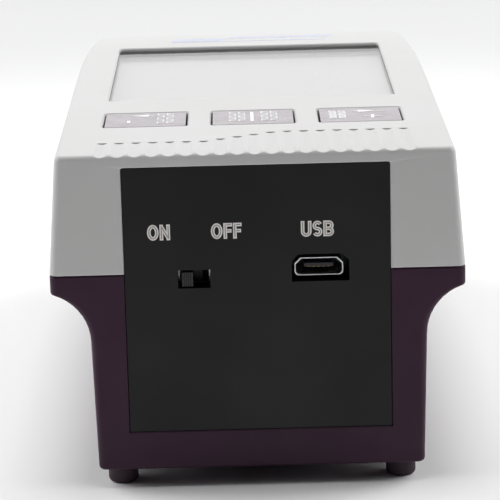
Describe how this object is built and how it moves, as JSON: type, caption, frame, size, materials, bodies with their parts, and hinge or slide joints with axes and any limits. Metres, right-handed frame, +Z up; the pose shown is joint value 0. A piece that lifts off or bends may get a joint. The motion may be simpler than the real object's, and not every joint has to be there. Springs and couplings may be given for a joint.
{
  "type": "lens transmittance meter",
  "caption": "Compact bench meter that measures light transmittance of lenses in a nose throat, with a top display, keys, a power switch and a charging socket.",
  "frame": {"origin": "centre of the footprint, on the plane that the feet stand on", "axes": "+Y from the switch and socket end to the nose, +Z up through the display, +X to the right when the switch end faces the viewer"},
  "size_m": [0.0682, 0.15, 0.0571],
  "materials": {
    "light_shell": "fine moulded texture",
    "dark_shell": "fine moulded texture",
    "panel_black": "satin gloss",
    "clear_window": "clear",
    "display_grey": "reflective liquid crystal",
    "foam_black": "closed-cell foam",
    "diffuser_white": "translucent white",
    "key_purple": "gloss lacquer",
    "black_plastic": "moulded",
    "board_green": "solder mask",
    "chip_black": "moulded",
    "connector_ivory": "moulded",
    "steel": "nickel plated",
    "contact_gold": "gold plated",
    "phenolic_brown": "laminate",
    "battery_wrap": "laminated foil",
    "lead_red": "wire insulation",
    "ribbon_grey": "flat cable",
    "flex_amber": "polyimide film",
    "optic_glass": "polished",
    "lamp_violet": "clear epoxy",
    "lamp_white": "clear epoxy",
    "lamp_dark": "tinted epoxy",
    "filter_blue": "coated",
    "foot_rubber": "moulded"
  },
  "bodies": {
    "root": {"top_shell": "light_shell", "bottom_shell": "dark_shell", "throat_frame": "dark_shell", "rear_panel": "panel_black", "display_window": "clear_window", "display_gasket": "foam_black", "lcd_panel": "display_grey", "backlight": "diffuser_white", "lcd_flex": "flex_amber", "main_board": "board_green", "board_chips": "chip_black", "board_connectors": "connector_ivory", "buzzer": "black_plastic", "key_switches": "black_plastic", "io_board": "board_green", "switch_can": "steel", "switch_base": "phenolic_brown", "switch_terminals": "contact_gold", "usb_shell": "steel", "usb_insert": "black_plastic", "usb_contacts": "contact_gold", "battery": "battery_wrap", "battery_pad": "foam_black", "battery_lead": "lead_red", "emitter_plate": "black_plastic", "emitter_window": "optic_glass", "emitter_barrel": "black_plastic", "condenser_lens": "optic_glass", "diffuser": "diffuser_white", "led_board": "board_green", "uv_led": "lamp_violet", "visible_led": "lamp_white", "infrared_led": "lamp_dark", "sensor_plate": "black_plastic", "sensor_window": "optic_glass", "sensor_holder": "black_plastic", "filters": "filter_blue", "photodiodes": "chip_black", "sensor_board": "board_green", "emitter_cable": "ribbon_grey", "sensor_cable": "ribbon_grey", "io_cable": "ribbon_grey", "case_screws": "steel", "board_screws": "steel", "io_board_screws": "steel", "emitter_screws": "steel", "sensor_screws": "steel", "foot_rear_left": "foot_rubber", "foot_rear_right": "foot_rubber", "foot_front_left": "foot_rubber", "foot_front_right": "foot_rubber"},
    "key_left": {"key_left": "key_purple", "plunger_left": "black_plastic"},
    "key_middle": {"key_middle": "key_purple", "plunger_middle": "black_plastic"},
    "key_right": {"key_right": "key_purple", "plunger_right": "black_plastic"},
    "power_slider": {"switch_slider": "black_plastic", "switch_contact": "contact_gold"}
  },
  "joints": [
    {"name": "key_left_press", "type": "slide", "parent": "root", "child": "key_left", "axis": [0, 0, -1], "range_m": [0, 0.0004], "stiffness_N_per_m": 2000, "springref_m": -0.0003},
    {"name": "key_middle_press", "type": "slide", "parent": "root", "child": "key_middle", "axis": [0, 0, -1], "range_m": [0, 0.0004], "stiffness_N_per_m": 2000, "springref_m": -0.0003},
    {"name": "key_right_press", "type": "slide", "parent": "root", "child": "key_right", "axis": [0, 0, -1], "range_m": [0, 0.0004], "stiffness_N_per_m": 2000, "springref_m": -0.0003},
    {"name": "power_switch_slide", "type": "slide", "parent": "root", "child": "power_slider", "axis": [1, 0, 0], "range_m": [0, 0.0022]}
  ]
}
